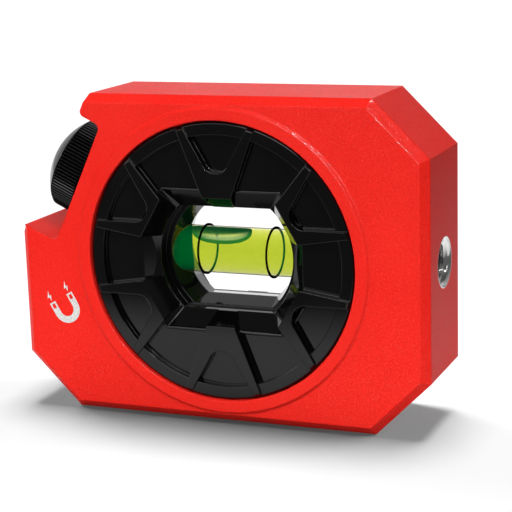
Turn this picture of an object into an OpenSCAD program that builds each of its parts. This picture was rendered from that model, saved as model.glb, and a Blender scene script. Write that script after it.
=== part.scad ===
// Magnetic pocket level: a cast block with a turning vial dial, a lock screw and a magnetic base.
// Millimetres. X runs along the block, Y from the front face to the back, Z up from the base.

/* [Body] */
// Length of the block from end to end
body_length = 90; // [86:1:110]
// Height of the block
body_height = 68; // [68:1:84]
// Thickness over the two collars round the dial
body_thickness = 25; // [24:0.5:32]
// Size of the cut corners
corner_cut = 11.5; // [6:0.5:13]
// Width of the bevel round both faces
edge_bevel = 1.7; // [0.8:0.1:1.8]
// Height of the collars over the faces
collar_height = 0.5; // [0.3:0.1:0.8]
// Width of each collar
collar_width = 2.4; // [1.5:0.1:2.5]
// How far the dial sits to the right of the middle
dial_offset = 1; // [0:0.5:3]

/* [Dial] */
// Outside diameter of the dial
dial_diameter = 58; // [54:1:58]
// Width of the flange outside the hub
flange_width = 3.5; // [3:0.1:4]
// Thickness of the hub between the two flanges
hub_thickness = 10.4; // [10:0.2:11]
// Width of the low lip round the rim
lip_width = 2.7; // [2:0.1:3]
// How far the lip lies below the plates
lip_drop = 0.5; // [0.3:0.1:0.8]
// Depth of the pockets between the plates
pocket_depth = 1.8; // [1.2:0.1:2.2]
// Half angle between the sides of a plate
plate_angle = 21; // [19:0.5:22]
// Half width of a plate at its reference radius
plate_half_width = 4.4; // [4:0.1:4.8]
// Half angle between the sides of the rounded pocket in a plate
scallop_angle = 30; // [28:0.5:31]
// Radius of the rounded pocket's inner end
scallop_radius = 3.1; // [2.6:0.1:3.4]
// Diameter of the dial screws
screw_diameter = 2.5; // [2:0.1:3]

/* [Opening] */
// Length of the opening at its straight land
opening_length = 29.7; // [28:0.1:30]
// Height of the opening at its straight land
opening_height = 21.8; // [20.5:0.1:22.5]
// Depth of the land below the front of the plates
land_depth = 4.4; // [4:0.1:4.8]
// How far the inner ridge stands in from the land, above and below
ridge_height = 1.45; // [1:0.05:2]
// How far the inner ridge stands in from the land, at the ends
ridge_end = 2.55; // [2:0.05:3]

/* [Vial] */
// Outside diameter of the vial
vial_diameter = 10; // [9.5:0.1:10.2]
// Length of the vial
vial_length = 37.4; // [36:0.2:38.5]
// Wall of the vial at its middle
vial_wall = 0.9; // [0.7:0.05:1.1]
// How much narrower the bore is at the ends than at the middle
bore_crown = 0.25; // [0.1:0.05:0.4]
// Distance between the two reading lines
line_spacing = 15.3; // [14:0.1:16]
// Length of the bubble
bubble_length = 13.2; // [11:0.2:13.6]
// Depth of the bubble
bubble_depth = 2.3; // [1.8:0.1:2.6]
// How far the bubble lies left of the middle
bubble_shift = 4.3; // [3:0.1:4.6]

/* [Lock] */
// Direction of the lock screw, counted from the right
lock_angle = 154.6; // [153:0.2:157]
// Diameter of the knob over its teeth
knob_diameter = 20.8; // [19.6:0.2:21.2]
// Height of the toothed part of the knob
knob_height = 6.2; // [5.8:0.1:6.8]
// Height of the domed cap
dome_height = 4.2; // [3:0.1:4.4]
// Number of teeth round the knob
tooth_count = 90; // [72:2:100]
// Thread diameter of the lock screw
stud_diameter = 6; // [5:0.5:6]
// Gap for the fingers on each side of the knob
finger_gap = 3.4; // [3:0.1:4]
// Wall between the dial and the floor of the knob's notch
notch_wall = 5.7; // [5.5:0.05:6.2]

/* [Base and side] */
// Diameter of the base magnets
magnet_diameter = 12; // [8:0.5:14]
// Thickness of the base magnets
magnet_thickness = 5; // [3:0.5:6]
// Distance of each magnet from the dial's middle
magnet_spread = 21; // [20:0.5:23]
// Thread diameter of the accessory socket
socket_diameter = 8; // [6:0.5:8]
// Depth of the accessory socket
socket_depth = 12; // [8:0.5:12.5]

/* [Hidden] */
$fn = 96;
overlap = 1;
blend = 0.05;
far = 60;
running_gap = 0.05;
dial_gap = 0.25;
hub_gap = 0.3;
web_gap = 0.3;
brake_gap = 0.5;

half_thickness = body_thickness/2;
half_height = body_height/2;
face_y = half_thickness - collar_height;
left_x = -body_length/2 - dial_offset;
right_x = body_length/2 - dial_offset;

dial_radius = dial_diameter/2;
hub_radius = dial_radius - flange_width;
hub_half = hub_thickness/2;
bore_radius = dial_radius + dial_gap;
web_radius = hub_radius + hub_gap;
web_half = hub_half - web_gap;
collar_radius = bore_radius + collar_width + collar_height;

lip_radius = dial_radius - lip_width;
lip_y = half_thickness - lip_drop;
floor_y = half_thickness - pocket_depth;
land_y = half_thickness - land_depth;
rim_bevel = 0.4;
plate_reference = 16.7;
upright_plates = [90, 270];
slanted_plates = [30, 150, 210, 330];
scallop_inset = 7.4;
scallop_middle = dial_radius - scallop_inset;
plate_outer_gap = 0.3;

land_end = opening_length/2;
land_top = opening_height/2;
step_wall = 0.3;
step_y = hub_half + step_wall;
step_height = 0.4;
step_end = 1.2;
flare_round = 4.45;
flare_end = 2.75;
flare_foot = 0.35;
flare_top = 3.65;
upright_reach = 2.5;
slanted_reach = 2.45;
plate_lip = 0.3;

vial_radius = vial_diameter/2;
seat_radius = vial_radius + running_gap;
bore_middle = vial_radius - vial_wall;
bore_end = bore_middle - bore_crown;
plug_length = 3;
liquid_half = vial_length/2 - plug_length;
crown_steps = 6;
line_width = 0.3;
line_height = 0.45;
film = 0.1;
bubble_radius = bubble_length/2;
bubble_half_width = 3.1;
bubble_floor = bore_middle - bubble_depth;
room_margin = 0.8;
room_reach = liquid_half - room_margin;

screw_inset = 8;
screw_radius = dial_radius - screw_inset;
screw_angles = [60, 120, 240, 300];
screw_head_rim = 1;
screw_head_radius = screw_diameter/2 + screw_head_rim;
screw_head_height = 1.6;
screw_seat_y = floor_y - screw_head_height;
screw_bite = 2.4;
screw_tip_y = -hub_half - screw_bite;
cord_radius = 0.8;
cord_inset = 1.6;
cord_y = hub_half - cord_inset;
cord_ring_radius = web_radius - running_gap - cord_radius;

knob_radius = knob_diameter/2;
tooth_depth = 0.4;
notch_floor = bore_radius + notch_wall;
notch_half = knob_radius + finger_gap;
notch_round = 1.3;
nose_height = 5.35;
nose_reach = notch_floor + nose_height;
nose_top = (half_height - nose_reach*sin(lock_angle))/(-cos(lock_angle));
shoulder_run = 1.5;
shoulder_drop = 2.65;
shoulder_corner = (left_x + notch_half*sin(lock_angle))/cos(lock_angle);
shoulder_z = shoulder_corner*sin(lock_angle) + notch_half*cos(lock_angle);

stud_radius = stud_diameter/2;
guide_end = bore_radius + running_gap;
shoe_play = 0.7;
stud_start = guide_end + shoe_play;
bush_wall = 1.5;
bush_radius = stud_radius + bush_wall;
shoe_shoulder = 0.8;
shoe_radius = stud_radius - shoe_shoulder;
shoe_tip = hub_radius + brake_gap;
pin_radius = 1;
pin_length = 2.4;
knob_clearance = 0.65;
knob_base = notch_floor + knob_clearance;
knob_top = knob_base + knob_height;
knob_bevel = 0.6;
steps_per_tooth = 4;
hex_shoulder = 2.76;
hex_radius = stud_radius + hex_shoulder;
hex_height = 3.7;
spigot_radius = 7;
spigot_height = 1;
cap_inset = 0.1;
cap_base_radius = knob_radius - tooth_depth - cap_inset;
cap_radius = (pow(cap_base_radius, 2) + pow(dome_height, 2))/(2*dome_height);

magnet_radius = magnet_diameter/2;
magnet_recess = 0.2;
socket_radius = socket_diameter/2;
thread_depth = 0.6;
socket_wall = socket_radius - thread_depth;
mouth_flare = 1.1;
socket_mouth = socket_radius + mouth_flare;
mouth_rim = 0.15;
socket_outside = socket_mouth + mouth_rim;

// A place in the block's outline counted along and across the lock screw
function lock_point(along, across) = [
    along*cos(lock_angle) + across*sin(lock_angle),
    along*sin(lock_angle) - across*cos(lock_angle)
];

// Puts its pieces on the dial's middle
module at_dial() {
    translate([dial_offset, 0, half_height])
        children();
}

// Turns the Z axis onto the lock screw, with X across it
module on_lock() {
    at_dial()
        rotate([0, 90 - lock_angle, 0])
            children();
}

// An outline seen from the front, as thick as the stretch of Y between the two values
module slab(front, back) {
    translate([0, back, 0])
        rotate([90, 0, 0])
            linear_extrude(back - front)
                children();
}

// A profile of radius against Y, turned round the dial's axis
module turned() {
    rotate([-90, 0, 0])
        rotate_extrude()
            children();
}

// A rod along X
module rod(radius, length) {
    rotate([0, 90, 0])
        cylinder(r = radius, h = length, center = true);
}

// The reach of a sloping wall at a depth; each place is a reach and the depth it is met at
function reach_at(y, front, back) =
    front[0] + (back[0] - front[0])*(y - front[1])/(back[1] - front[1]);

// Everything short of a sloping wall that faces the dial's middle, between two depths
module within_wall(angle, front, back, start_y, end_y) {
    rotate([0, -angle, 0])
        linear_extrude(2*far, center = true)
            polygon([
                [-far, start_y],
                [reach_at(start_y, front, back), start_y],
                [reach_at(end_y, front, back), end_y],
                [-far, end_y]
            ]);
}

// A funnel with round ends between two depths; front and back are [[end, top], depth]
module funnel(front, back, start_y, end_y) {
    ends = [[front[0][0], front[1]], [back[0][0], back[1]]];
    tops = [[front[0][1], front[1]], [back[0][1], back[1]]];
    intersection() {
        turned()
            polygon([
                [0, start_y],
                [reach_at(start_y, ends[0], ends[1]), start_y],
                [reach_at(end_y, ends[0], ends[1]), end_y],
                [0, end_y]
            ]);
        within_wall(90, tops[0], tops[1], start_y, end_y);
        within_wall(270, tops[0], tops[1], start_y, end_y);
    }
}

// The corners of the block's outside, from the nose round to the shoulder under the knob
outer_corners = [
    lock_point(nose_reach, nose_top),
    [right_x - corner_cut, half_height],
    [right_x, half_height - corner_cut],
    [right_x, corner_cut - half_height],
    [right_x - corner_cut, -half_height],
    [left_x + corner_cut, -half_height],
    [left_x, corner_cut - half_height],
    [left_x, shoulder_z - shoulder_drop]
];

inner_corners = [
    lock_point(shoulder_corner - shoulder_run, -notch_half),
    lock_point(notch_floor + notch_round, -notch_half),
    lock_point(notch_floor + notch_round, notch_half),
    lock_point(nose_reach, notch_half)
];

// Bevels one straight edge of the block on both faces
module edge_bevels(from, to) {
    run = to - from;
    turn = atan2(run[1], run[0]);
    middle = (from + to)/2;
    for (side = [-1, 1])
        translate([middle[0], side*face_y, middle[1]])
            rotate([0, -turn, 0])
                rotate([45, 0, 0])
                    cube([norm(run) + 2*edge_bevel, edge_bevel*sqrt(2), edge_bevel*sqrt(2)], center = true);
}

// The rounded trough along the floor of the knob's notch
module notch_trough() {
    round_middle = notch_half - notch_round - blend;
    trough_half = round_middle - sqrt(2*notch_round*blend);
    translate([-trough_half, -far, notch_floor])
        cube([2*trough_half, 2*far, notch_round + overlap]);
    for (side = [-1, 1])
        translate([side*round_middle, 0, notch_floor + notch_round])
            rotate([90, 0, 0])
                cylinder(r = notch_round, h = 2*far, center = true);
}

// What the rounded tip of the nose takes off
module nose_round() {
    difference() {
        translate([notch_half - overlap, -far, nose_reach - notch_round + blend])
            cube([notch_round + overlap - blend, 2*far, notch_round + overlap]);
        translate([notch_half + notch_round - blend, 0, nose_reach - notch_round + blend])
            rotate([90, 0, 0])
                cylinder(r = notch_round, h = 3*far, center = true);
    }
}

module block() {
    difference() {
        slab(-face_y, face_y)
            polygon(concat(outer_corners, inner_corners));
        for (i = [0 : len(outer_corners) - 2])
            edge_bevels(outer_corners[i], outer_corners[i + 1]);
    }
}

module collar() {
    turned()
        polygon([
            [web_radius, face_y - overlap],
            [collar_radius, face_y - overlap],
            [collar_radius, face_y],
            [collar_radius - collar_height, half_thickness],
            [web_radius, half_thickness]
        ]);
}

module dial_bore() {
    turned()
        polygon([
            [0, -far], [bore_radius, -far], [bore_radius, -web_half], [web_radius, -web_half],
            [web_radius, web_half], [bore_radius, web_half], [bore_radius, far], [0, far]
        ]);
}

module lock_bore() {
    translate([0, 0, hub_radius])
        cylinder(r = shoe_radius + running_gap, h = notch_floor - hub_radius);
    translate([0, 0, guide_end])
        cylinder(r = bush_radius, h = notch_floor - guide_end + overlap);
}

module at_magnet(side) {
    translate([dial_offset + side*magnet_spread, 0, magnet_recess])
        children();
}

module at_socket() {
    translate([body_length/2, 0, half_height])
        rotate([0, -90, 0])
            children();
}

module housing() {
    color([0.80, 0.07, 0.06])
        difference() {
            at_dial()
                union() {
                    block();
                    collar();
                    mirror([0, 1, 0])
                        collar();
                }
            at_dial()
                dial_bore();
            on_lock() {
                notch_trough();
                nose_round();
                lock_bore();
            }
            for (side = [-1, 1])
                at_magnet(side)
                    translate([0, 0, -overlap])
                        cylinder(r = magnet_radius, h = magnet_thickness + overlap);
            at_socket()
                translate([0, 0, -overlap])
                    cylinder(r = socket_outside, h = socket_depth + overlap);
        }
}

module base_magnet(side) {
    color([0.62, 0.63, 0.65])
        at_magnet(side)
            cylinder(r = magnet_radius, h = magnet_thickness);
}

module base_magnet_left() {
    base_magnet(-1);
}

module base_magnet_right() {
    base_magnet(1);
}

module accessory_bush() {
    color([0.72, 0.73, 0.74])
        at_socket()
            difference() {
                cylinder(r = socket_outside, h = socket_depth);
                translate([0, 0, -overlap])
                    cylinder(r = socket_wall, h = socket_depth + 2*overlap);
                translate([0, 0, -overlap])
                    cylinder(r1 = socket_mouth + overlap, r2 = socket_wall, h = socket_mouth - socket_wall + overlap);
            }
}

// Half the width of a plate at a radius along its middle
function plate_half(along) = plate_half_width + (along - plate_reference)*tan(plate_angle);

// The rounded pocket that leaves two ribs of each plate
module scallop() {
    start = scallop_middle - (scallop_radius - blend)*sin(scallop_angle);
    start_half = (scallop_radius - blend)*cos(scallop_angle);
    end_half = start_half + (far - start)*tan(scallop_angle);
    translate([scallop_middle, 0])
        circle(scallop_radius);
    polygon([[start, -start_half], [far, -end_half], [far, end_half], [start, start_half]]);
}

// One plate of the dial's face, its inner end sloping from the front reach to the land
module plate(angle, front_reach, land_reach) {
    inner = plate_reference/2;
    root_y = overlap - land_y;
    difference() {
        intersection() {
            rotate([0, -angle, 0])
                slab(-half_thickness, root_y)
                    difference() {
                        polygon([
                            [inner, -plate_half(inner)], [dial_radius, -plate_half(dial_radius)],
                            [dial_radius, plate_half(dial_radius)], [inner, plate_half(inner)]
                        ]);
                        scallop();
                    }
            turned()
                polygon([
                    [0, -half_thickness],
                    [dial_radius - plate_outer_gap - lip_drop, -half_thickness],
                    [dial_radius - plate_outer_gap, -lip_y],
                    [dial_radius - plate_outer_gap, root_y],
                    [0, root_y]
                ]);
        }
        within_wall(angle, [front_reach, -half_thickness], [land_reach, -land_y],
            -half_thickness - overlap, root_y + overlap);
    }
}

module dial_plates() {
    for (angle = upright_plates)
        plate(angle, land_top + upright_reach, land_top - plate_lip);
    for (angle = slanted_plates)
        plate(angle, land_end + slanted_reach, land_end - plate_lip);
}

// The flange with its lip, and the hub that runs in the housing's web
module dial_blank() {
    turned()
        polygon([
            [0, -floor_y], [lip_radius, -floor_y], [lip_radius, -lip_y],
            [dial_radius - rim_bevel, -lip_y], [dial_radius, rim_bevel - lip_y],
            [dial_radius, -hub_half], [hub_radius, -hub_half], [hub_radius, 0], [0, 0]
        ]);
}

// The flat wall at one end of the flare
module flare_wall(angle) {
    within_wall(
        angle,
        [land_end + flare_end, -floor_y],
        [land_end + flare_foot, -land_y],
        -floor_y - overlap,
        overlap - land_y
    );
}

// One half of the dial, at the front
module dial_half() {
    land = [land_end, land_top];
    flare = land + [flare_round, flare_top];
    step = land - [step_end, step_height];
    ridge = land - [ridge_end, ridge_height];
    difference() {
        union() {
            difference() {
                dial_blank();
                intersection() {
                    funnel([flare, -floor_y], [land, -land_y], -floor_y - overlap, overlap - land_y);
                    flare_wall(0);
                    flare_wall(180);
                }
            }
            dial_plates();
        }
        funnel([land, -land_y], [land, -step_y], -half_thickness - overlap, -step_y);
        funnel([step, -step_y], [ridge, 0], -step_y - overlap, overlap);
        rod(seat_radius, vial_length + 2*running_gap);
    }
}

module at_screws() {
    for (angle = screw_angles)
        rotate([0, -angle, 0])
            translate([screw_radius, 0, 0])
                rotate([-90, 0, 0])
                    children();
}

module dial_front() {
    color([0.02, 0.02, 0.02])
        at_dial()
            difference() {
                dial_half();
                at_screws()
                    translate([0, 0, screw_tip_y])
                        cylinder(d = screw_diameter, h = -screw_tip_y + overlap);
            }
}

module dial_rear() {
    color([0.02, 0.02, 0.02])
        at_dial()
            difference() {
                mirror([0, 1, 0])
                    dial_half();
                at_screws() {
                    translate([0, 0, -overlap])
                        cylinder(r = screw_diameter/2 + running_gap, h = far);
                    translate([0, 0, screw_seat_y])
                        cylinder(r = screw_head_radius + running_gap, h = far);
                }
                turned()
                    translate([cord_ring_radius, cord_y])
                        circle(cord_radius);
                turned()
                    translate([cord_ring_radius, cord_y - cord_radius])
                        square([far, 2*cord_radius]);
            }
}

module dial_screws() {
    color([0.30, 0.30, 0.32])
        at_dial()
            at_screws() {
                translate([0, 0, screw_tip_y])
                    cylinder(d = screw_diameter, h = screw_seat_y - screw_tip_y);
                translate([0, 0, screw_seat_y])
                    cylinder(r = screw_head_radius, h = screw_head_height);
            }
}

module dial_drag_ring() {
    color([0.05, 0.05, 0.05])
        at_dial()
            turned()
                translate([cord_ring_radius, cord_y])
                    circle(cord_radius);
}

// The barrel-shaped space inside the vial
module vial_bore() {
    rotate([0, 90, 0])
        rotate_extrude()
            polygon(concat(
                [[0, liquid_half], [0, -liquid_half]],
                [for (i = [-crown_steps : crown_steps])
                    [bore_middle - bore_crown*pow(i/crown_steps, 2), liquid_half*i/crown_steps]]
            ));
}

module vial_tube() {
    color([0.85, 0.92, 0.80, 0.35])
        at_dial()
            difference() {
                rod(vial_radius, vial_length);
                vial_bore();
                rod(bore_end, vial_length + overlap);
            }
}

module vial_plug(side) {
    color([0.04, 0.04, 0.04])
        at_dial()
            translate([side*(liquid_half + plug_length/2), 0, 0])
                rod(bore_end, plug_length);
}

module vial_plug_left() {
    vial_plug(-1);
}

module vial_plug_right() {
    vial_plug(1);
}

// A long round-ended room under the top of the bore, between two places along the vial
module top_room(from, to, half_width, floor_z) {
    translate([0, 0, floor_z])
        linear_extrude(far) {
            for (end = [from + half_width, to - half_width])
                translate([end, 0])
                    circle(half_width);
            translate([from + half_width, -half_width])
                square([to - from - 2*half_width, 2*half_width]);
        }
}

module vial_liquid() {
    color([0.70, 0.80, 0.10, 0.6])
        at_dial()
            difference() {
                vial_bore();
                top_room(-room_reach, room_reach, bubble_half_width + film, bubble_floor - film);
            }
}

module vial_bubble() {
    color([0.80, 0.95, 0.75, 0.4])
        at_dial()
            intersection() {
                rod(bore_end - film, vial_length);
                top_room(-bubble_shift - bubble_radius, bubble_radius - bubble_shift,
                    bubble_half_width, bubble_floor);
            }
}

module vial_line(side) {
    color([0.01, 0.01, 0.01])
        at_dial()
            translate([side*line_spacing/2, 0, 0])
                difference() {
                    rod(vial_radius + line_height, line_width);
                    rod(vial_radius, line_width + overlap);
                }
}

module vial_line_left() {
    vial_line(-1);
}

module vial_line_right() {
    vial_line(1);
}

module lock_bush() {
    color([0.75, 0.62, 0.30])
        on_lock()
            translate([0, 0, guide_end])
                difference() {
                    cylinder(r = bush_radius, h = notch_floor - guide_end);
                    translate([0, 0, -overlap])
                        cylinder(r = stud_radius + running_gap, h = notch_floor - guide_end + 2*overlap);
                }
}

module lock_shoe() {
    color([0.85, 0.84, 0.80])
        on_lock()
            difference() {
                translate([0, 0, shoe_tip - overlap])
                    cylinder(r = shoe_radius, h = stud_start - shoe_tip + overlap);
                translate([0, 0, brake_gap])
                    rotate([90, 0, 0])
                        cylinder(r = hub_radius, h = far, center = true);
                translate([0, 0, stud_start - pin_length - running_gap])
                    cylinder(r = pin_radius + running_gap, h = pin_length + overlap);
            }
}

module hex_head(radius, height) {
    translate([0, 0, knob_top - spigot_height - hex_height])
        cylinder(r = radius, h = height, $fn = 6);
}

module lock_stud() {
    color([0.55, 0.56, 0.58])
        on_lock()
            union() {
                translate([0, 0, stud_start - pin_length])
                    cylinder(r = pin_radius, h = pin_length + overlap);
                translate([0, 0, stud_start])
                    cylinder(r = stud_radius, h = knob_top - spigot_height - stud_start);
                hex_head(hex_radius, hex_height);
            }
}

// The outline of the knob's teeth, a smooth wave round the barrel
module toothed_outline() {
    steps = steps_per_tooth*tooth_count;
    polygon([
        for (i = [0 : steps - 1])
            let (angle = i*360/steps, radius = knob_radius - tooth_depth*(1 - cos(angle*tooth_count))/2)
                radius*[cos(angle), sin(angle)]
    ]);
}

module lock_knob() {
    color([0.03, 0.03, 0.03])
        on_lock()
            difference() {
                intersection() {
                    translate([0, 0, knob_base])
                        linear_extrude(knob_height)
                            toothed_outline();
                    rotate_extrude()
                        polygon([
                            [0, knob_base],
                            [knob_radius - knob_bevel, knob_base],
                            [knob_radius + knob_bevel, knob_base + 2*knob_bevel],
                            [knob_radius + knob_bevel, knob_top - 2*knob_bevel],
                            [knob_radius - knob_bevel, knob_top],
                            [0, knob_top]
                        ]);
                }
                translate([0, 0, knob_base - overlap])
                    cylinder(r = stud_radius, h = knob_height);
                hex_head(hex_radius, knob_height);
                translate([0, 0, knob_top - spigot_height])
                    cylinder(r = spigot_radius, h = spigot_height + overlap);
            }
}

module knob_cap() {
    color([0.03, 0.03, 0.03])
        on_lock()
            union() {
                intersection() {
                    translate([0, 0, knob_top + dome_height - cap_radius])
                        sphere(cap_radius);
                    translate([0, 0, knob_top])
                        cylinder(r = knob_radius, h = dome_height + overlap);
                }
                translate([0, 0, knob_top - spigot_height])
                    cylinder(r = spigot_radius, h = spigot_height + overlap);
            }
}

housing();
base_magnet_left();
base_magnet_right();
accessory_bush();
dial_front();
dial_rear();
dial_screws();
dial_drag_ring();
vial_tube();
vial_plug_left();
vial_plug_right();
vial_liquid();
vial_bubble();
vial_line_left();
vial_line_right();
lock_bush();
lock_shoe();
lock_stud();
lock_knob();
knob_cap();
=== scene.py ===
import bpy
import bmesh
import math
from mathutils import Matrix, Vector


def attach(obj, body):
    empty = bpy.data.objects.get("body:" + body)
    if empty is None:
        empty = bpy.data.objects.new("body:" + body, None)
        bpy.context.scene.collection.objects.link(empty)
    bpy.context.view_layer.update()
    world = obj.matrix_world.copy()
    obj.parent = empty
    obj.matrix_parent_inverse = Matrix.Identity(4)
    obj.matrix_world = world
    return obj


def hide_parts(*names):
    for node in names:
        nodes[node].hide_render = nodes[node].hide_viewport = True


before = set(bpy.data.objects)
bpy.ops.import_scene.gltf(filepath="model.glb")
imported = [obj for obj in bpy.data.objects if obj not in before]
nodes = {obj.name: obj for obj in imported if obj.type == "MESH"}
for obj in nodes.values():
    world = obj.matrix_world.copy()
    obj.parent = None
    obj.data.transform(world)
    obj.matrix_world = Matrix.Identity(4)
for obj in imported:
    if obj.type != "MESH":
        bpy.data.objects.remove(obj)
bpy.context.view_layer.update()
mm = 0.001
dialMiddle = Vector((1.0, 0.0, 34.0)) * mm
print("frame loaded:", len(nodes), "nodes")


class Wire:
    # a shader socket that can stand in Python sums
    def __init__(self, finish, socket):
        self.finish, self.socket = finish, socket

    def sum(self, operation, first, second):
        return self.finish.make("Math", {"operation": operation}, {0: first, 1: second})

    def __add__(self, other):
        return self.sum("ADD", self, other)

    def __radd__(self, other):
        return self.sum("ADD", other, self)

    def __sub__(self, other):
        return self.sum("SUBTRACT", self, other)

    def __rsub__(self, other):
        return self.sum("SUBTRACT", other, self)

    def __mul__(self, other):
        return self.sum("MULTIPLY", self, other)

    def __rmul__(self, other):
        return self.sum("MULTIPLY", other, self)

    def __pow__(self, other):
        return self.sum("POWER", self, other)

    def __rpow__(self, other):
        return self.sum("POWER", other, self)


noiseBand = {"share": (0.35, 0.65), "spread": (0.3, 0.7)}  # noise keeps near its middle
bevelSamples = 6


class Finish:
    # one material, or the world, built node by node
    def __init__(self, name, world=None):
        self.material = world or bpy.data.materials.new(name)
        self.material.use_nodes = True
        self.tree = self.material.node_tree
        self.tree.nodes.clear()
        self.end = self.tree.nodes.new("ShaderNodeOutputWorld" if world else "ShaderNodeOutputMaterial")

    def make(self, kind, settings=None, sockets=None, out=0):
        node = self.tree.nodes.new("ShaderNode" + kind)
        for key, value in (settings or {}).items():
            setattr(node, key, value)
        for key, value in (sockets or {}).items():
            if isinstance(value, Wire):
                self.tree.links.new(value.socket, node.inputs[key])
            else:
                node.inputs[key].default_value = value
        return Wire(self, node.outputs[out])

    def close(self, shader, volume=None):
        self.tree.links.new(shader.socket, self.end.inputs["Surface"])
        if volume:
            self.tree.links.new(volume.socket, self.end.inputs["Volume"])
        return self.material

    def place(self):
        return self.make("TexCoord", out="Object")

    def axes(self, ways, at=None):
        return [self.make("SeparateXYZ", sockets={0: at or self.place()}, out=way) for way in ways]

    def noise(self, scale, detail=2.0, rough=0.5):
        return self.make("TexNoise", sockets={
            "Vector": self.place(), "Scale": scale, "Detail": detail, "Roughness": rough})

    def ramp(self, value, low, high, start=0.0, end=1.0):
        return self.make("MapRange", {"clamp": True}, {
            "Value": value, "From Min": low, "From Max": high, "To Min": start, "To Max": end})

    def share(self, noise):
        return self.ramp(noise, *noiseBand["share"])

    def spread(self, noise, low, high):
        return self.ramp(noise, *noiseBand["spread"], low, high)

    def tint(self, share, first, second):
        return self.make("Mix", {"data_type": "RGBA"}, {0: share, 6: (*first, 1), 7: (*second, 1)}, out=2)

    def softEdge(self, radius):
        return self.make("Bevel", {"samples": bevelSamples}, {"Radius": radius})

    def bump(self, height, strength, distance, normal=None):
        sockets = {"Height": height, "Strength": strength, "Distance": distance}
        if normal:
            sockets["Normal"] = normal
        return self.make("Bump", sockets=sockets)

    def facing(self):
        return self.make("LayerWeight", sockets={"Blend": 0.5}, out="Facing")

    def clear(self, colour):
        return self.make("BsdfTransparent", sockets={"Color": (*colour, 1)})

    # an emission; every use of it here is painted light or shade
    def paintedGlow(self, colour, strength):
        return self.make("Emission", sockets={"Color": (*colour, 1), "Strength": strength})

    def surface(self, sockets):
        return self.make("BsdfPrincipled", sockets=sockets)

    def mix(self, share, first, second):
        return self.make("MixShader", sockets={0: share, 1: first, 2: second})


coat = {
    "light": (0.85, 0.020, 0.012), "deep": (0.74, 0.013, 0.008), "edge": 0.0005,
    "grain": 2400, "grainDetail": 3.0, "grainRough": 0.55, "grainHeight": 0.00006, "grainPull": 0.75,
    "cloud": 45, "cloudDetail": 3.0, "grainPart": 0.6, "cloudPart": 0.4,
    "rough": (0.42, 0.54), "shine": 0.03,
    "speckGrain": 4000, "speckDetail": 1.0, "speckShare": (0.60, 0.66), "speckRough": 0.2, "speckShine": 0.6,
    "speckLight": (0.92, 0.042, 0.030), "speckDeep": (0.82, 0.028, 0.019),
}


def redCoat():
    f = Finish("red_powder_coat")
    grain = f.noise(coat["grain"], coat["grainDetail"], coat["grainRough"])
    cloud = f.noise(coat["cloud"], coat["cloudDetail"])
    shade = f.share(grain * coat["grainPart"] + cloud * coat["cloudPart"])
    normal = f.bump(grain, coat["grainPull"], coat["grainHeight"], f.softEdge(coat["edge"]))
    plain = f.surface({
        "Base Color": f.tint(shade, coat["deep"], coat["light"]),
        "Roughness": f.spread(cloud, *coat["rough"]),
        "Specular IOR Level": coat["shine"], "Normal": normal})
    # the grains that stand proud are paler and shine more
    proud = f.surface({
        "Base Color": f.tint(shade, coat["speckDeep"], coat["speckLight"]),
        "Roughness": coat["speckRough"],
        "Specular IOR Level": coat["speckShine"], "Normal": normal})
    share = f.ramp(f.noise(coat["speckGrain"], coat["speckDetail"]), *coat["speckShare"])
    return f.close(f.mix(share, plain, proud))


black = {
    "dark": (0.0009, 0.0009, 0.0010), "pale": (0.0018, 0.0018, 0.0020),
    "cloud": 70, "cloudDetail": 3.0, "grainHeight": 0.00002,
}
dialGloss = {"rough": (0.05, 0.11), "grain": 1500, "grainPull": 0.04, "edge": 0.00025, "ior": 1.4}
capGloss = {"rough": (0.05, 0.1), "grain": 1800, "grainPull": 0.03, "edge": 0.0003, "ior": 1.6}


def blackShade(f):
    cloud = f.noise(black["cloud"], black["cloudDetail"])
    return cloud, f.tint(f.share(cloud), black["dark"], black["pale"])


def blackGloss(name, look):
    f = Finish(name)
    cloud, colour = blackShade(f)
    grain = f.noise(look["grain"])
    return f.close(f.surface({
        "Base Color": colour, "Roughness": f.spread(cloud, *look["rough"]), "IOR": look["ior"],
        "Normal": f.bump(grain, look["grainPull"], black["grainHeight"], f.softEdge(look["edge"]))}))


knob = {
    "axis": (-0.903335, 0.0, 0.428935), "groove": 0.0102, "tip": 0.01036,
    "rough": (0.12, 0.22), "ior": 1.33, "grain": 2600, "grainPull": 0.1, "edge": 0.00008, "dullRough": 0.6,
}


def toothedBlack():
    # glossy along the tips of the teeth, dull in the grooves
    f = Finish("toothed_black_knob")
    cloud, colour = blackShade(f)
    arm = f.make("VectorMath", {"operation": "SUBTRACT"}, {0: f.place(), 1: dialMiddle})
    along = f.make("VectorMath", {"operation": "DOT_PRODUCT"}, {0: arm, 1: knob["axis"]}, out="Value")
    reach = f.make("VectorMath", {"operation": "LENGTH"}, {0: arm}, out="Value")
    radius = (reach * reach - along * along) ** 0.5
    dull = f.surface({"Base Color": colour, "Roughness": knob["dullRough"], "Specular IOR Level": 0.0})
    grain = f.noise(knob["grain"])
    tip = f.surface({
        "Base Color": colour, "Roughness": f.spread(cloud, *knob["rough"]), "IOR": knob["ior"],
        "Normal": f.bump(grain, knob["grainPull"], black["grainHeight"], f.softEdge(knob["edge"]))})
    return f.close(f.mix(f.ramp(radius, knob["groove"], knob["tip"]), dull, tip))


metal = {
    "cloud": 260, "cloudDetail": 4.0, "darker": 0.82, "edge": 0.0002,
    "lineWander": 2.0, "lineDetail": 2.0, "linePull": 0.15, "lineHeight": 0.00002,
}


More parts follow.
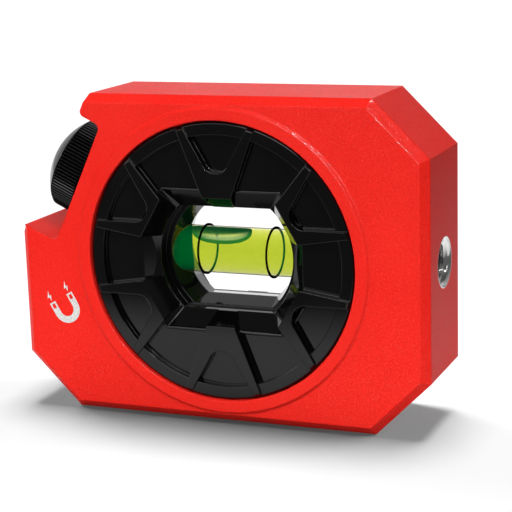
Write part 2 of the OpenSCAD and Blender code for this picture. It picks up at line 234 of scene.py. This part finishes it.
def bareMetal(name, colour, rough, lineScale):
    f = Finish(name)
    cloud = f.noise(metal["cloud"], metal["cloudDetail"])
    lines = f.make("TexWave", {"wave_type": "RINGS", "rings_direction": "X"}, {
        "Vector": f.place(), "Scale": lineScale,
        "Distortion": metal["lineWander"], "Detail": metal["lineDetail"]})
    darker = [c * metal["darker"] for c in colour]
    return f.close(f.surface({
        "Base Color": f.tint(f.share(cloud), darker, colour), "Metallic": 1.0,
        "Roughness": f.spread(cloud, *rough),
        "Normal": f.bump(lines, metal["linePull"], metal["lineHeight"], f.softEdge(metal["edge"]))}))


matt = {"cloud": 400, "cloudDetail": 3.0, "paler": 1.6, "roughStray": 0.08, "pull": 0.2, "height": 0.00002}


def dullFinish(name, colour, rough, shine):
    f = Finish(name)
    cloud = f.noise(matt["cloud"], matt["cloudDetail"])
    paler = [c * matt["paler"] for c in colour]
    return f.close(f.surface({
        "Base Color": f.tint(f.share(cloud), colour, paler),
        "Roughness": f.spread(cloud, rough - matt["roughStray"], rough + matt["roughStray"]),
        "Specular IOR Level": shine, "Normal": f.bump(cloud, matt["pull"], matt["height"])}))


# the vial's skins, with painted shade along their edges and their lower band
skin = {
    "cloud": 90, "edgeShadeDark": (0.10, 0.11, 0.05), "edgeShadePale": (0.16, 0.17, 0.09),
    "lowShadeBand": (-0.0048, -0.0025),
    "tubeEdgeShade": (0.70, 0.88), "tubeClear": (0.99, 0.99, 0.97), "tubeLowShade": (0.82, 0.82, 0.78),
    "tubeShine": 0.35, "tubeTurn": 4.0, "tubeRough": 0.03,
    "liquidEdgeShade": (0.9, 1.0), "liquidClear": (1.0, 1.0, 1.0), "liquidLowShade": (0.97, 0.97, 0.97),
}


def vialHeight(f):
    return f.axes("Z")[0] - dialMiddle.z


def clearSkin(f, edge, clear, low):
    # clear all over, with painted shade that makes it a little darker below, and a thin painted dark line
    # where the skin turns away
    # painted shade: a dark line where the skin turns away from view
    line = f.surface({
        "Base Color": f.tint(f.noise(skin["cloud"]), skin["edgeShadeDark"], skin["edgeShadePale"]),
        "Specular IOR Level": 0.0})
    # painted shade: less light comes through along the lower band
    through = f.mix(f.ramp(vialHeight(f), *skin["lowShadeBand"]), f.clear(low), f.clear(clear))
    return f.mix(f.ramp(f.facing(), *edge), through, line)


def tubeGlass():
    f = Finish("clear_vial")
    shine = f.make("BsdfGlossy", sockets={"Color": (1, 1, 1, 1), "Roughness": skin["tubeRough"]})
    share = f.facing() ** skin["tubeTurn"] * skin["tubeShine"]
    through = clearSkin(f, skin["tubeEdgeShade"], skin["tubeClear"], skin["tubeLowShade"])
    return f.close(f.mix(share, through, shine))


# painted glow: the liquid gives off light of its own, though it is no lamp
liquid = {"colour": (0.80, 0.80, 0.02, 1), "density": 400.0, "paintedGlow": (0.0, 1.0, 0.5), "paintedGlowStrength": 13.5}


def vialLiquid():
    f = Finish("yellow_green_liquid")
    soak = f.make("VolumeAbsorption", sockets={"Color": liquid["colour"], "Density": liquid["density"]})
    paintedGlow = f.paintedGlow(liquid["paintedGlow"], liquid["paintedGlowStrength"])
    through = clearSkin(f, skin["liquidEdgeShade"], skin["liquidClear"], skin["liquidLowShade"])
    return f.close(through, f.make("AddShader", sockets={0: soak, 1: paintedGlow}))


# painted light for the bubble: its rim, the shade on its roof and its glow inside
air = {
    "edge": (0.10, 0.27), "rim": (0.012, 0.16, 0.028), "rimClear": (0.5, 0.8, 0.4), "paintedRimShare": (0.75, 0.9),
    "roofShadeBand": (0.0034, 0.0045), "paintedRoofShade": (0.006, 0.06, 0.018), "paintedGlow": (0.7, 0.7, 1.0), "paintedGlowStrength": 85.0,
}


def bubbleAir():
    # a painted green rim where the bubble turns away, a painted dark shade on its roof, a clear middle and a
    # painted glow inside
    f = Finish("air_in_liquid")
    paintedRimShare = f.spread(f.noise(skin["cloud"]), *air["paintedRimShare"])
    rim = f.mix(paintedRimShare, f.clear(air["rimClear"]), f.paintedGlow(air["rim"], 1.0))
    side = f.mix(f.ramp(f.facing(), *air["edge"]), f.clear((1, 1, 1)), rim)
    whole = f.mix(f.ramp(vialHeight(f), *air["roofShadeBand"]), side, f.paintedGlow(air["paintedRoofShade"], 1.0))
    return f.close(whole, f.paintedGlow(air["paintedGlow"], air["paintedGlowStrength"]))


ink = {
    "dark": (0.60, 0.58, 0.56), "pale": (0.78, 0.77, 0.75), "speck": 3200, "rough": (0.45, 0.6),
    "pull": 0.2, "height": 0.00002,
}


def whitePrint():
    f = Finish("white_print")
    speck = f.noise(ink["speck"])
    return f.close(f.surface({
        "Base Color": f.tint(f.share(speck), ink["dark"], ink["pale"]),
        "Roughness": f.spread(speck, *ink["rough"]), "Normal": f.bump(speck, ink["pull"], ink["height"])}))


finishes = {
    "red": redCoat(),
    "dial": blackGloss("glossy_black_dial", dialGloss),
    "knob": toothedBlack(),
    "cap": blackGloss("glossy_black_cap", capGloss),
    "socket": bareMetal("machined_metal", colour=(0.74, 0.74, 0.73), rough=(0.1, 0.2), lineScale=900),
    "magnet": bareMetal("plated_magnet", colour=(0.62, 0.63, 0.65), rough=(0.22, 0.36), lineScale=400),
    "screw": bareMetal("dark_steel", colour=(0.30, 0.30, 0.31), rough=(0.3, 0.45), lineScale=500),
    "brass": bareMetal("turned_brass", colour=(0.75, 0.57, 0.26), rough=(0.25, 0.4), lineScale=500),
    "rubber": dullFinish("black_rubber", colour=(0.012, 0.012, 0.012), rough=0.7, shine=0.4),
    "plug": dullFinish("black_plug", colour=(0.004, 0.004, 0.004), rough=0.5, shine=0.3),
    "line": dullFinish("black_line", colour=(0.0015, 0.0015, 0.0015), rough=0.4, shine=0.0),
    "shoe": dullFinish("pale_brake_shoe", colour=(0.42, 0.41, 0.38), rough=0.55, shine=0.5),
    "tube": tubeGlass(),
    "liquid": vialLiquid(),
    "air": bubbleAir(),
    "print": whitePrint(),
}
dressing = {
    "housing": "red", "base_magnet_left": "magnet", "base_magnet_right": "magnet", "accessory_bush": "socket",
    "dial_front": "dial", "dial_rear": "dial", "dial_screws": "screw", "dial_drag_ring": "rubber",
    "vial_tube": "tube", "vial_liquid": "liquid", "vial_bubble": "air", "vial_plug_left": "plug",
    "vial_plug_right": "plug", "vial_line_left": "line", "vial_line_right": "line", "lock_bush": "brass",
    "lock_shoe": "shoe", "lock_stud": "screw", "lock_knob": "knob", "knob_cap": "cap",
}
for name, finish in dressing.items():
    nodes[name].data.materials.clear()
    nodes[name].data.materials.append(finishes[finish])
print("finishes on", len(dressing), "nodes")


weldGap = 1e-7


def meshPiece(name, points, faces, finish, body, smooth=True):
    mesh = bpy.data.meshes.new(name)
    mesh.from_pydata([tuple(p) for p in points], [], faces)
    work = bmesh.new()
    work.from_mesh(mesh)
    bmesh.ops.remove_doubles(work, verts=work.verts, dist=weldGap)
    bmesh.ops.recalc_face_normals(work, faces=work.faces)
    work.to_mesh(mesh)
    work.free()
    for face in mesh.polygons:
        face.use_smooth = smooth
    mesh.materials.append(finishes[finish])
    piece = bpy.data.objects.new(name, mesh)
    bpy.context.scene.collection.objects.link(piece)
    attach(piece, body)
    return piece


def gridFaces(rows, columns):
    # faces between neighbouring rings of points, joined round
    faces = []
    for r in range(rows - 1):
        for c in range(columns):
            n = (c + 1) % columns
            faces.append((r * columns + c, r * columns + n, (r + 1) * columns + n, (r + 1) * columns + c))
    return faces


def shifted(faces, start):
    return [tuple(start + i for i in face) for face in faces]


def turns(count):
    return [2 * math.pi * c / count for c in range(count)]


vial = {"tube": 5.0, "liquid": 4.85, "half": 18.7, "liquidHalf": 15.7, "edge": 0.3, "around": 96, "along": 24}


def rodForm(name, radius, half, finish):
    straight = half - vial["edge"]
    profile = [(-half, 0.0), (-half, radius - vial["edge"])]
    profile += [(straight * (2 * i / vial["along"] - 1), radius) for i in range(vial["along"] + 1)]
    profile += [(half, radius - vial["edge"]), (half, 0.0)]
    points = []
    for x, r in profile:
        for a in turns(vial["around"]):
            points.append(dialMiddle + Vector((x, r * math.cos(a), r * math.sin(a))) * mm)
    return meshPiece(name, points, gridFaces(len(profile), vial["around"]), finish, "dial")


def vialForm():
    tube = rodForm("vial_glass", vial["tube"], vial["half"], "tube")
    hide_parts("vial_tube")
    filling = rodForm("vial_filling", vial["liquid"], vial["liquidHalf"], "liquid")
    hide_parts("vial_liquid")


bubble = {
    "shift": -4.3, "half": 6.7, "width": 3.1, "bore": 4.75, "middle": 2.9, "low": 1.6, "high": 1.85,
    "lift": 1.5, "plan": 2.3, "planRound": 0.45, "depthRound": 0.7, "along": 56, "around": 56,
}


def bubbleForm():
    # a long drop: the top follows the bore, the underside rises to both ends
    k, points = bubble, []
    for i in range(k["along"] + 1):
        u = -math.cos(math.pi * i / k["along"])
        share = (1 - abs(u) ** k["plan"]) ** k["planRound"] if abs(u) < 1 else 0.0
        middle = k["middle"] + k["lift"] * (1 - share)
        for a in turns(k["around"]):
            y = k["width"] * share * math.cos(a)
            depth = k["high"] if math.sin(a) > 0 else k["low"]
            z = middle + depth * share ** k["depthRound"] * math.sin(a)
            z = min(z, math.sqrt(k["bore"] ** 2 - y * y))
            points.append(dialMiddle + Vector((k["shift"] + k["half"] * u, y, z)) * mm)
    piece = meshPiece("bubble_form", points, gridFaces(k["along"] + 1, k["around"]), "air", "bubble")
    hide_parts("vial_bubble")


vialForm()
bubbleForm()
print("vial and bubble made")


boltSocket = {
    "mouthX": 45.0, "height": 34.0, "depth": 12.0, "outside": 5.25, "mouth": 5.1, "core": 3.4, "root": 4.6,
    "lead": 1.6, "start": 0.4, "pitch": 1.25, "around": 72, "perPitch": 8,
}


def threadRadius(depth, turn):
    # the thread winds inwards, opened by the cone of the mouth
    s = boltSocket
    wave = (depth / s["pitch"] + turn) % 1.0
    thread = s["core"] + (s["root"] - s["core"]) * (1 - abs(2 * wave - 1))
    return max(thread, s["mouth"] - depth * s["lead"])


def threadedSocket():
    s = boltSocket
    run = s["depth"] - s["start"]
    steps = int(run / s["pitch"] * s["perPitch"])
    rings = [(s["depth"], s["outside"]), (0.0, s["outside"]), (0.0, s["mouth"])]
    rings += [(s["start"] + run * i / steps, None) for i in range(steps + 1)]
    rings.append((s["depth"], s["outside"]))
    points = []
    for depth, plain in rings:
        for c, a in enumerate(turns(s["around"])):
            radius = plain or threadRadius(depth, c / s["around"])
            y, z = radius * math.cos(a), s["height"] + radius * math.sin(a)
            points.append(Vector((s["mouthX"] - depth, y, z)) * mm)
    piece = meshPiece("socket_insert", points, gridFaces(len(rings), s["around"]), "socket", "body")
    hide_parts("accessory_bush")


threadedSocket()
print("socket made")


screws = {
    "ring": 21.0, "angles": (60, 120, 240, 300), "head": 2.25, "shank": 1.25, "seat": 9.1, "top": 10.7,
    "tip": -7.6, "point": 0.4, "edge": 0.25, "slot": 0.32, "slotReach": 1.35, "slotDepth": 0.8,
    "rings": 24, "around": 64,
}


def slotDrop(x, z):
    # how deep the cross lies under the head's top at a place
    k = screws
    arms = [max(abs(a) - k["slotReach"], abs(b) - k["slot"]) for a, b in ((x, z), (z, x))]
    return k["slotDepth"] if min(arms) < 0 else 0.0


def crossScrews():
    k, points, faces = screws, [], []
    flat = k["head"] - k["edge"]
    profile = [(k["tip"], 0.0), (k["tip"] + k["point"], k["shank"])]
    profile += [(k["seat"], k["shank"]), (k["seat"], k["head"]), (k["top"] - k["edge"], k["head"])]
    profile += [(k["top"], flat * (1 - i / k["rings"])) for i in range(k["rings"] + 1)]
    for angle in k["angles"]:
        turn = math.radians(angle)
        middle = dialMiddle + Vector((math.cos(turn), 0, math.sin(turn))) * k["ring"] * mm
        faces += shifted(gridFaces(len(profile), k["around"]), len(points))
        for y, r in profile:
            for a in turns(k["around"]):
                x, z = r * math.cos(a), r * math.sin(a)
                drop = slotDrop(x, z) if y == k["top"] else 0.0
                points.append(middle + Vector((x, y - drop, z)) * mm)
    piece = meshPiece("dial_screw_heads", points, faces, "screw", "dial", smooth=False)
    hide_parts("dial_screws")


crossScrews()
print("screws made")


edging = {
    "floorY": 10.7, "end": 17.6, "round": 19.3, "top": 14.55, "radius": 0.38, "inset": 0.2, "sink": 0.14,
    "arc": 8, "corner": 5, "around": 14,
}


def edgePath():
    # half of the opening's edge, from one end wall over the top to the other: each place and its way out
    k = edging
    low, high = math.acos(k["end"] / k["round"]), math.asin(k["top"] / k["round"])
    ways = [(low + (high - low) * i / k["arc"],) * 2 for i in range(k["arc"] + 1)]
    ways += [(high, high + (math.pi / 2 - high) * i / k["corner"]) for i in range(1, k["corner"] + 1)]
    right = []
    for a, b in ways:
        right.append(((k["round"] * math.cos(a), k["round"] * math.sin(a)), (math.cos(b), math.sin(b))))
    return right + [((-x, z), (-out, up)) for (x, z), (out, up) in reversed(right)]


def openingEdges():
    # a thin bead round the mouth of the opening, front and back, above and below
    k, points, faces, path = edging, [], [], edgePath()
    for side, upright in ((-1, -1), (-1, 1), (1, -1), (1, 1)):
        start = len(points)
        for (x, z), (out, up) in path:
            for a in turns(k["around"]):
                reach, stand = k["inset"] + k["radius"] * math.cos(a), k["radius"] * math.sin(a)
                y = side * (k["floorY"] - k["sink"] + stand)
                points.append(dialMiddle + Vector((x + out * reach, y, upright * (z + up * reach))) * mm)
        faces += shifted(gridFaces(len(path), k["around"]), start)
        for first in (start, len(points) - k["around"]):
            faces.append(tuple(range(first, first + k["around"])))
    piece = meshPiece("opening_edges", points, faces, "dial", "dial")


openingEdges()
print("opening edges made")


sign = {
    "middle": (-34.8, 21.9), "front": -12.0, "stand": 0.03, "turn": 30, "steps": 20,
    "outer": 3.1, "inner": 1.62, "leg": 1.3, "tip": 1.4, "frame": 0.36, "boltAt": (2.35, 3.1),
    "bolt": ((0.0, 0.0), (0.6, 1.2), (0.12, 1.12), (0.42, 2.3), (-0.55, 0.85), (-0.03, 0.92)),
}


def signShape(outline):
    turn = Matrix.Rotation(math.radians(sign["turn"]), 2)
    points, count = [], len(outline)
    for y in (sign["front"], sign["front"] - sign["stand"]):
        for p in outline:
            q = turn @ Vector(p)
            points.append(Vector((sign["middle"][0] + q.x, y, sign["middle"][1] + q.y)) * mm)
    faces = [tuple(range(count)), tuple(range(count, 2 * count))]
    faces += [(i, (i + 1) % count, count + (i + 1) % count, count + i) for i in range(count)]
    return points, faces


def signBar(x0, x1, z0, z1):
    return [(x0, z0), (x1, z0), (x1, z1), (x0, z1)]


def magnetSign():
    # a horseshoe with open tips and a spark over each
    s = sign
    sweep = [math.pi * (1 + i / s["steps"]) for i in range(s["steps"] + 1)]
    outline = [(s["outer"] * math.cos(a), s["outer"] * math.sin(a)) for a in sweep]
    outline += [(s["outer"], s["leg"]), (s["inner"], s["leg"])]
    outline += [(s["inner"] * math.cos(a), s["inner"] * math.sin(a)) for a in reversed(sweep)]
    outline += [(-s["inner"], s["leg"]), (-s["outer"], s["leg"])]
    shapes = [outline]
    low, high, rim = s["leg"], s["leg"] + s["tip"], s["frame"]
    for side in (-1, 1):
        left, right = sorted((side * s["inner"], side * s["outer"]))
        shapes += [signBar(left, left + rim, low, high), signBar(right - rim, right, low, high)]
        shapes.append(signBar(left + rim, right - rim, high - rim, high))
        shapes.append([(side * s["boltAt"][0] + x, s["boltAt"][1] + z) for x, z in s["bolt"]])
    points, faces = [], []
    for shape in shapes:
        shapePoints, shapeFaces = signShape(shape)
        faces += shifted(shapeFaces, len(points))
        points += shapePoints
    piece = meshPiece("magnet_sign", points, faces, "print", "body", smooth=False)


magnetSign()
print("sign made")


# the floor's settings, with the painted pool of light: pale near the block, dark further out
paintedPoolFloor = {
    "reach": 3.0, "sink": 0.0001, "pale": (0.93, 0.93, 0.93), "dark": (0.11, 0.11, 0.11),
    "front": (-0.105, -0.07), "right": (0.135, 0.072), "cloud": 3.0, "stray": 0.004,
}


def floorPiece():
    # a painted pool of light: the floor is painted pale round the block and dark further out in front and to
    # the right, which the dial mirrors
    f = Finish("pale_floor")
    across, depth = f.axes("XY")
    stray = f.noise(paintedPoolFloor["cloud"]) * paintedPoolFloor["stray"]
    shade = f.ramp(depth + stray, *paintedPoolFloor["front"]) * f.ramp(across + stray, *paintedPoolFloor["right"])
    material = f.close(f.surface({
        "Base Color": f.tint(shade, paintedPoolFloor["dark"], paintedPoolFloor["pale"]),
        "Roughness": 1.0, "Specular IOR Level": 0.0}))
    r = paintedPoolFloor["reach"]
    corners = [(x * r, y * r, -paintedPoolFloor["sink"]) for x, y in ((-1, -1), (1, -1), (1, 1), (-1, 1))]
    mesh = bpy.data.meshes.new("floor")
    mesh.from_pydata(corners, [], [(0, 1, 2, 3)])
    mesh.materials.append(material)
    floor = bpy.data.objects.new("floor", mesh)
    bpy.context.scene.collection.objects.link(floor)
    return floor


sky = {
    "ambient": 0.1, "low": (0.14, 0.14, 0.14), "high": (0.68, 0.68, 0.68),
    "fall": 0.9, "lean": 0.6, "band": (-0.2, 0.8),
}


def skyLight():
    # a dome that is palest low behind and to the left, and a weak plain light on dull surfaces
    world = bpy.data.worlds.new("studio")
    bpy.context.scene.world = world
    f = Finish("studio", world)
    camera, shine, clear = [f.make("LightPath", out=kind) for kind in (
        "Is Camera Ray", "Is Glossy Ray", "Is Transmission Ray")]
    right, away, height = f.axes("XYZ", f.make("TexCoord", out="Generated"))
    pale = f.ramp(away - height * sky["fall"] - right * sky["lean"], *sky["band"])
    soft = f.make("Background", sockets={"Color": (1, 1, 1, 1), "Strength": sky["ambient"]})
    seen = f.make("Background", sockets={"Color": f.tint(pale, sky["low"], sky["high"]), "Strength": 1.0})
    f.close(f.mix(camera + shine + clear, soft, seen))


lampAim = Vector((0.0, 0.0, 0.034))
blackParts = ("dial_front", "dial_rear", "lock_knob", "knob_cap")
glints = ("collarGlint", "edgeGlint")  # these show only in the shine
# the suns light the floor alone
suns = {
    "floorLamp": {"way": (0.0, 0.15, 0.99), "angle": 0.42, "power": 2.38},
    "floorLeft": {"way": (-0.75, 0.36, 0.52), "angle": 0.5, "power": 1.1},
    "floorRight": {"way": (0.75, 0.36, 0.52), "angle": 0.5, "power": 1.1},
}
lamps = {
    "key": {"way": (0.0, -0.75, 0.66), "reach": 1.2, "size": 0.6, "power": 5.9, "on": "object"},
    "fill": {"way": (-0.35, -0.9, 0.25), "reach": 1.0, "size": 0.7, "power": 2.9, "on": "object"},
    "right": {"way": (0.42, -0.42, 0.80), "reach": 0.6, "size": 0.05, "power": 1.3, "on": "object"},
    "collarGlint": {"way": (0.37, -0.32, 0.87), "reach": 0.6, "size": 0.06, "power": 4.0, "on": "housing"},
    "edgeGlint": {"way": (0.25, -0.89, 0.34), "reach": 0.6, "size": 0.08, "power": 11.0, "on": "housing"},
    "back": {"way": (-0.25, 0.82, 0.5), "reach": 0.9, "size": 0.7, "power": 1.0, "on": "housing"},
    "edgeLeft": {"way": (-0.85, -0.3, 0.42), "reach": 0.6, "size": 0.2, "power": 0.8, "on": "black"},
    "edgeRight": {"way": (0.6, -0.5, 0.6), "reach": 0.6, "size": 0.22, "power": 1.2, "on": "black"},
}


def lampGroup(name, parts):
    group = bpy.data.collections.new(name)
    for part in parts:
        group.objects.link(part)
    return group


def hangLamp(name, light, group, way, reach=1.0):
    lamp = bpy.data.objects.new(name, light)
    lamp.location = lampAim + Vector(way).normalized() * reach
    lamp.rotation_euler = (lampAim - lamp.location).to_track_quat("-Z", "Y").to_euler()
    bpy.context.scene.collection.objects.link(lamp)
    lamp.light_linking.receiver_collection = group
    lamp.visible_camera = False
    lamp.visible_diffuse = name not in glints


def studioLamps(floor):
    groups = {
        "floor": lampGroup("floor_only", [floor]),
        "object": lampGroup("all_but_floor", [floor]),
        "housing": lampGroup("housing_only", [nodes["housing"]]),
        "black": lampGroup("black_only", [nodes[part] for part in blackParts]),
    }
    groups["object"].collection_objects[0].light_linking.link_state = "EXCLUDE"
    for name, look in suns.items():
        light = bpy.data.lights.new(name, "SUN")
        light.energy, light.angle = look["power"], look["angle"]
        hangLamp(name, light, groups["floor"], look["way"])
    for name, look in lamps.items():
        light = bpy.data.lights.new(name, "AREA")
        light.shape, light.size, light.energy = "DISK", look["size"], look["power"]
        hangLamp(name, light, groups[look["on"]], look["way"], look["reach"])
    nodes["housing"].visible_diffuse = False  # the block throws no red light on the floor


eye = {
    "place": (0.126236, -0.299725, 0.106509), "right": (0.92838, 0.3704, -0.03011),
    "down": (0.05488, -0.21678, -0.97468), "ahead": (-0.36755, 0.90322, -0.22158),
    "lens": 111.225, "sensor": 36.0, "near": 0.01, "far": 20.0,
}


def photoCamera():
    data = bpy.data.cameras.new("camera")
    data.lens, data.sensor_width = eye["lens"], eye["sensor"]
    data.clip_start, data.clip_end = eye["near"], eye["far"]
    camera = bpy.data.objects.new("camera", data)
    right, up, back = Vector(eye["right"]), -Vector(eye["down"]), -Vector(eye["ahead"])
    turn = Matrix((right, up, back)).transposed()
    camera.matrix_world = Matrix.Translation(eye["place"]) @ turn.to_4x4()
    bpy.context.scene.collection.objects.link(camera)
    bpy.context.scene.camera = camera


studioLamps(floorPiece())
skyLight()
photoCamera()
bpy.context.scene.view_settings.view_transform = "Standard"
print("stage set")
